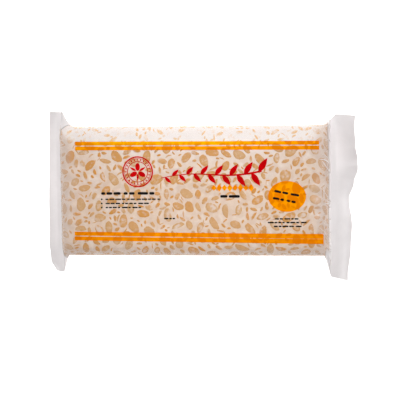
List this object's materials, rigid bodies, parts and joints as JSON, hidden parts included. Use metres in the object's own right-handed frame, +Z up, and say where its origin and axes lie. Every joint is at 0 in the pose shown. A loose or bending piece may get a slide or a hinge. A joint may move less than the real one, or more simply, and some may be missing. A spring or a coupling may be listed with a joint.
{
  "type": "packed tempeh cake",
  "caption": "Slab of whole-bean tempeh sealed in a flat tube of clear film, with a pressed fin at each end, lying on its back.",
  "frame": {"origin": "middle of the bounding box, on the plane of the flat back that the pack lies on", "axes": "+X along the cake towards its longer fin, +Y across the printed face towards its upper edge, +Z up out of the printed face"},
  "size_m": [0.2412, 0.1342, 0.0334],
  "materials": {
    "tempeh_in_film": "cream mould-bound soybeans behind clear, slightly glossy film",
    "tempeh_mycelium": "soft matte cream-white mould round the beans",
    "soybean": "cooked tan soybeans, dull",
    "clear_film": "clear, slightly milky film",
    "frosted_film": "frosted white film of the sealed fins",
    "print_orange": "slightly see-through orange ink on film",
    "print_red": "red ink on film",
    "print_black": "black ink on film"
  },
  "bodies": {
    "root": {"pack": "tempeh_in_film"}
  },
  "joints": []
}
